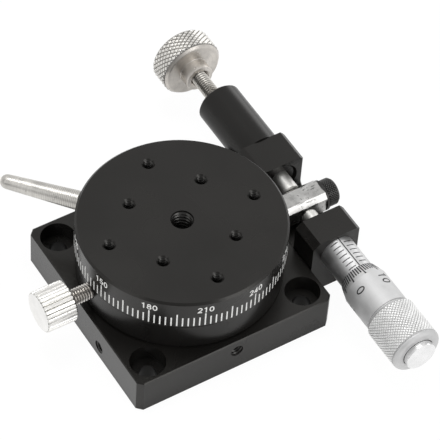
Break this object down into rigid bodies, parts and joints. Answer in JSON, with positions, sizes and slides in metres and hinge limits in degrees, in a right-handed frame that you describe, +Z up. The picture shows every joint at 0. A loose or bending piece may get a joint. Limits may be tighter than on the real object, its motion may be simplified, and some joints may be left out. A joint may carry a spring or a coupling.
{
  "type": "manual rotation stage",
  "caption": "Small manual rotation stage: square base plate, graduated round table with tapped holes, clamp thumbscrew, turning lever, tangent arm, micrometer drive and sprung plunger.",
  "frame": {"origin": "on the rotation axis, at the underside of the base plate", "axes": "+Z up along the rotation axis, +X towards the tangent arm and micrometer bracket, +Y from the micrometer towards the sprung plunger, -Y the front face of the plate"},
  "size_m": [0.0616, 0.0829, 0.02],
  "materials": {
    "black_anodised": "black anodised, satin",
    "satin_chrome": "satin chrome plated",
    "plated_steel": "nickel plated",
    "ground_steel": "ground",
    "bearing_steel": "polished",
    "black_oxide_steel": "black oxide",
    "spring_steel": "drawn wire",
    "brass": "turned",
    "slip_polymer": "low-friction sheet"
  },
  "bodies": {
    "base": {"base_plate": "black_anodised", "bearing_outer_race": "bearing_steel", "bearing_lock_ring": "black_oxide_steel", "slip_washer": "slip_polymer", "micrometer_bracket": "black_anodised", "bracket_screws": "black_oxide_steel", "sleeve_set_screw": "black_oxide_steel", "micrometer_sleeve": "satin_chrome", "adjusting_nut": "brass", "plunger_housing": "black_anodised", "housing_plug": "black_oxide_steel", "return_spring": "spring_steel"},
    "clamp_ring": {"clamp_ring": "black_anodised", "tangent_arm": "ground_steel", "arm_washer": "black_oxide_steel", "arm_cap_screw": "black_oxide_steel"},
    "table": {"rotating_table": "black_anodised", "bearing_inner_race": "bearing_steel", "spindle_nut": "black_oxide_steel", "turning_lever": "plated_steel", "lever_stud": "plated_steel"},
    "ball_cage": {"bearing_balls": "bearing_steel", "bearing_cage": "brass"},
    "clamp_pad": {"clamp_pad": "brass"},
    "clamp_screw": {"clamp_thumbscrew": "plated_steel"},
    "spindle_tip": {"spindle_ball": "bearing_steel"},
    "thimble": {"micrometer_spindle": "ground_steel", "thimble": "satin_chrome", "thimble_cap": "satin_chrome"},
    "plunger": {"plunger_pin": "ground_steel"},
    "spring_seat": {"spring_seat": "ground_steel"},
    "tension_screw": {"tension_stem": "plated_steel", "tension_knob": "plated_steel"}
  },
  "joints": [
    {"name": "ring_fine_turn", "type": "hinge", "parent": "base", "child": "clamp_ring", "pos_m": [0, 0, 0.0106], "axis": [0, 0, 1], "range_deg": [-5, 5]},
    {"name": "table_turn", "type": "hinge", "parent": "clamp_ring", "child": "table", "pos_m": [0, 0, 0.0095], "axis": [0, 0, 1], "continuous": true},
    {"name": "cage_turn", "type": "hinge", "parent": "base", "child": "ball_cage", "pos_m": [0, 0, 0.0095], "axis": [0, 0, 1], "continuous": true},
    {"name": "spindle_travel", "type": "slide", "parent": "base", "child": "spindle_tip", "axis": [0, 1, 0], "range_m": [-0.0022, 0.0022]},
    {"name": "thimble_turn", "type": "hinge", "parent": "spindle_tip", "child": "thimble", "pos_m": [0.0252, -0.03, 0.01], "axis": [0, 1, 0], "range_deg": [-1580, 1580]},
    {"name": "plunger_travel", "type": "slide", "parent": "base", "child": "plunger", "axis": [0, 1, 0], "range_m": [-0.0022, 0.0022], "deforming": ["return_spring"]},
    {"name": "clamp_pad_travel", "type": "slide", "parent": "clamp_ring", "child": "clamp_pad", "axis": [1, 0, 0], "range_m": [-0.0015, 0.0003]},
    {"name": "clamp_screw_turn", "type": "hinge", "parent": "clamp_pad", "child": "clamp_screw", "pos_m": [-0.02, 0, 0.0114], "axis": [1, 0, 0], "range_deg": [-1080, 216]},
    {"name": "spring_seat_travel", "type": "slide", "parent": "base", "child": "spring_seat", "axis": [0, -1, 0], "range_m": [-0.0015, 0.0015]},
    {"name": "tension_screw_turn", "type": "hinge", "parent": "spring_seat", "child": "tension_screw", "pos_m": [0.0252, 0.035, 0.01], "axis": [0, -1, 0], "range_deg": [-1080, 1080]}
  ],
  "couplings": [
    {"joint": "ring_fine_turn", "follows": "thimble_turn", "ratio": 0.0031578},
    {"joint": "spindle_travel", "follows": "thimble_turn", "m_per_rad": 0.000079577},
    {"joint": "plunger_travel", "follows": "thimble_turn", "m_per_rad": 0.000079577},
    {"joint": "cage_turn", "follows": "table_turn", "ratio": 0.4279},
    {"joint": "clamp_pad_travel", "follows": "clamp_screw_turn", "m_per_rad": 0.000079577},
    {"joint": "spring_seat_travel", "follows": "tension_screw_turn", "m_per_rad": 0.000079577}
  ]
}
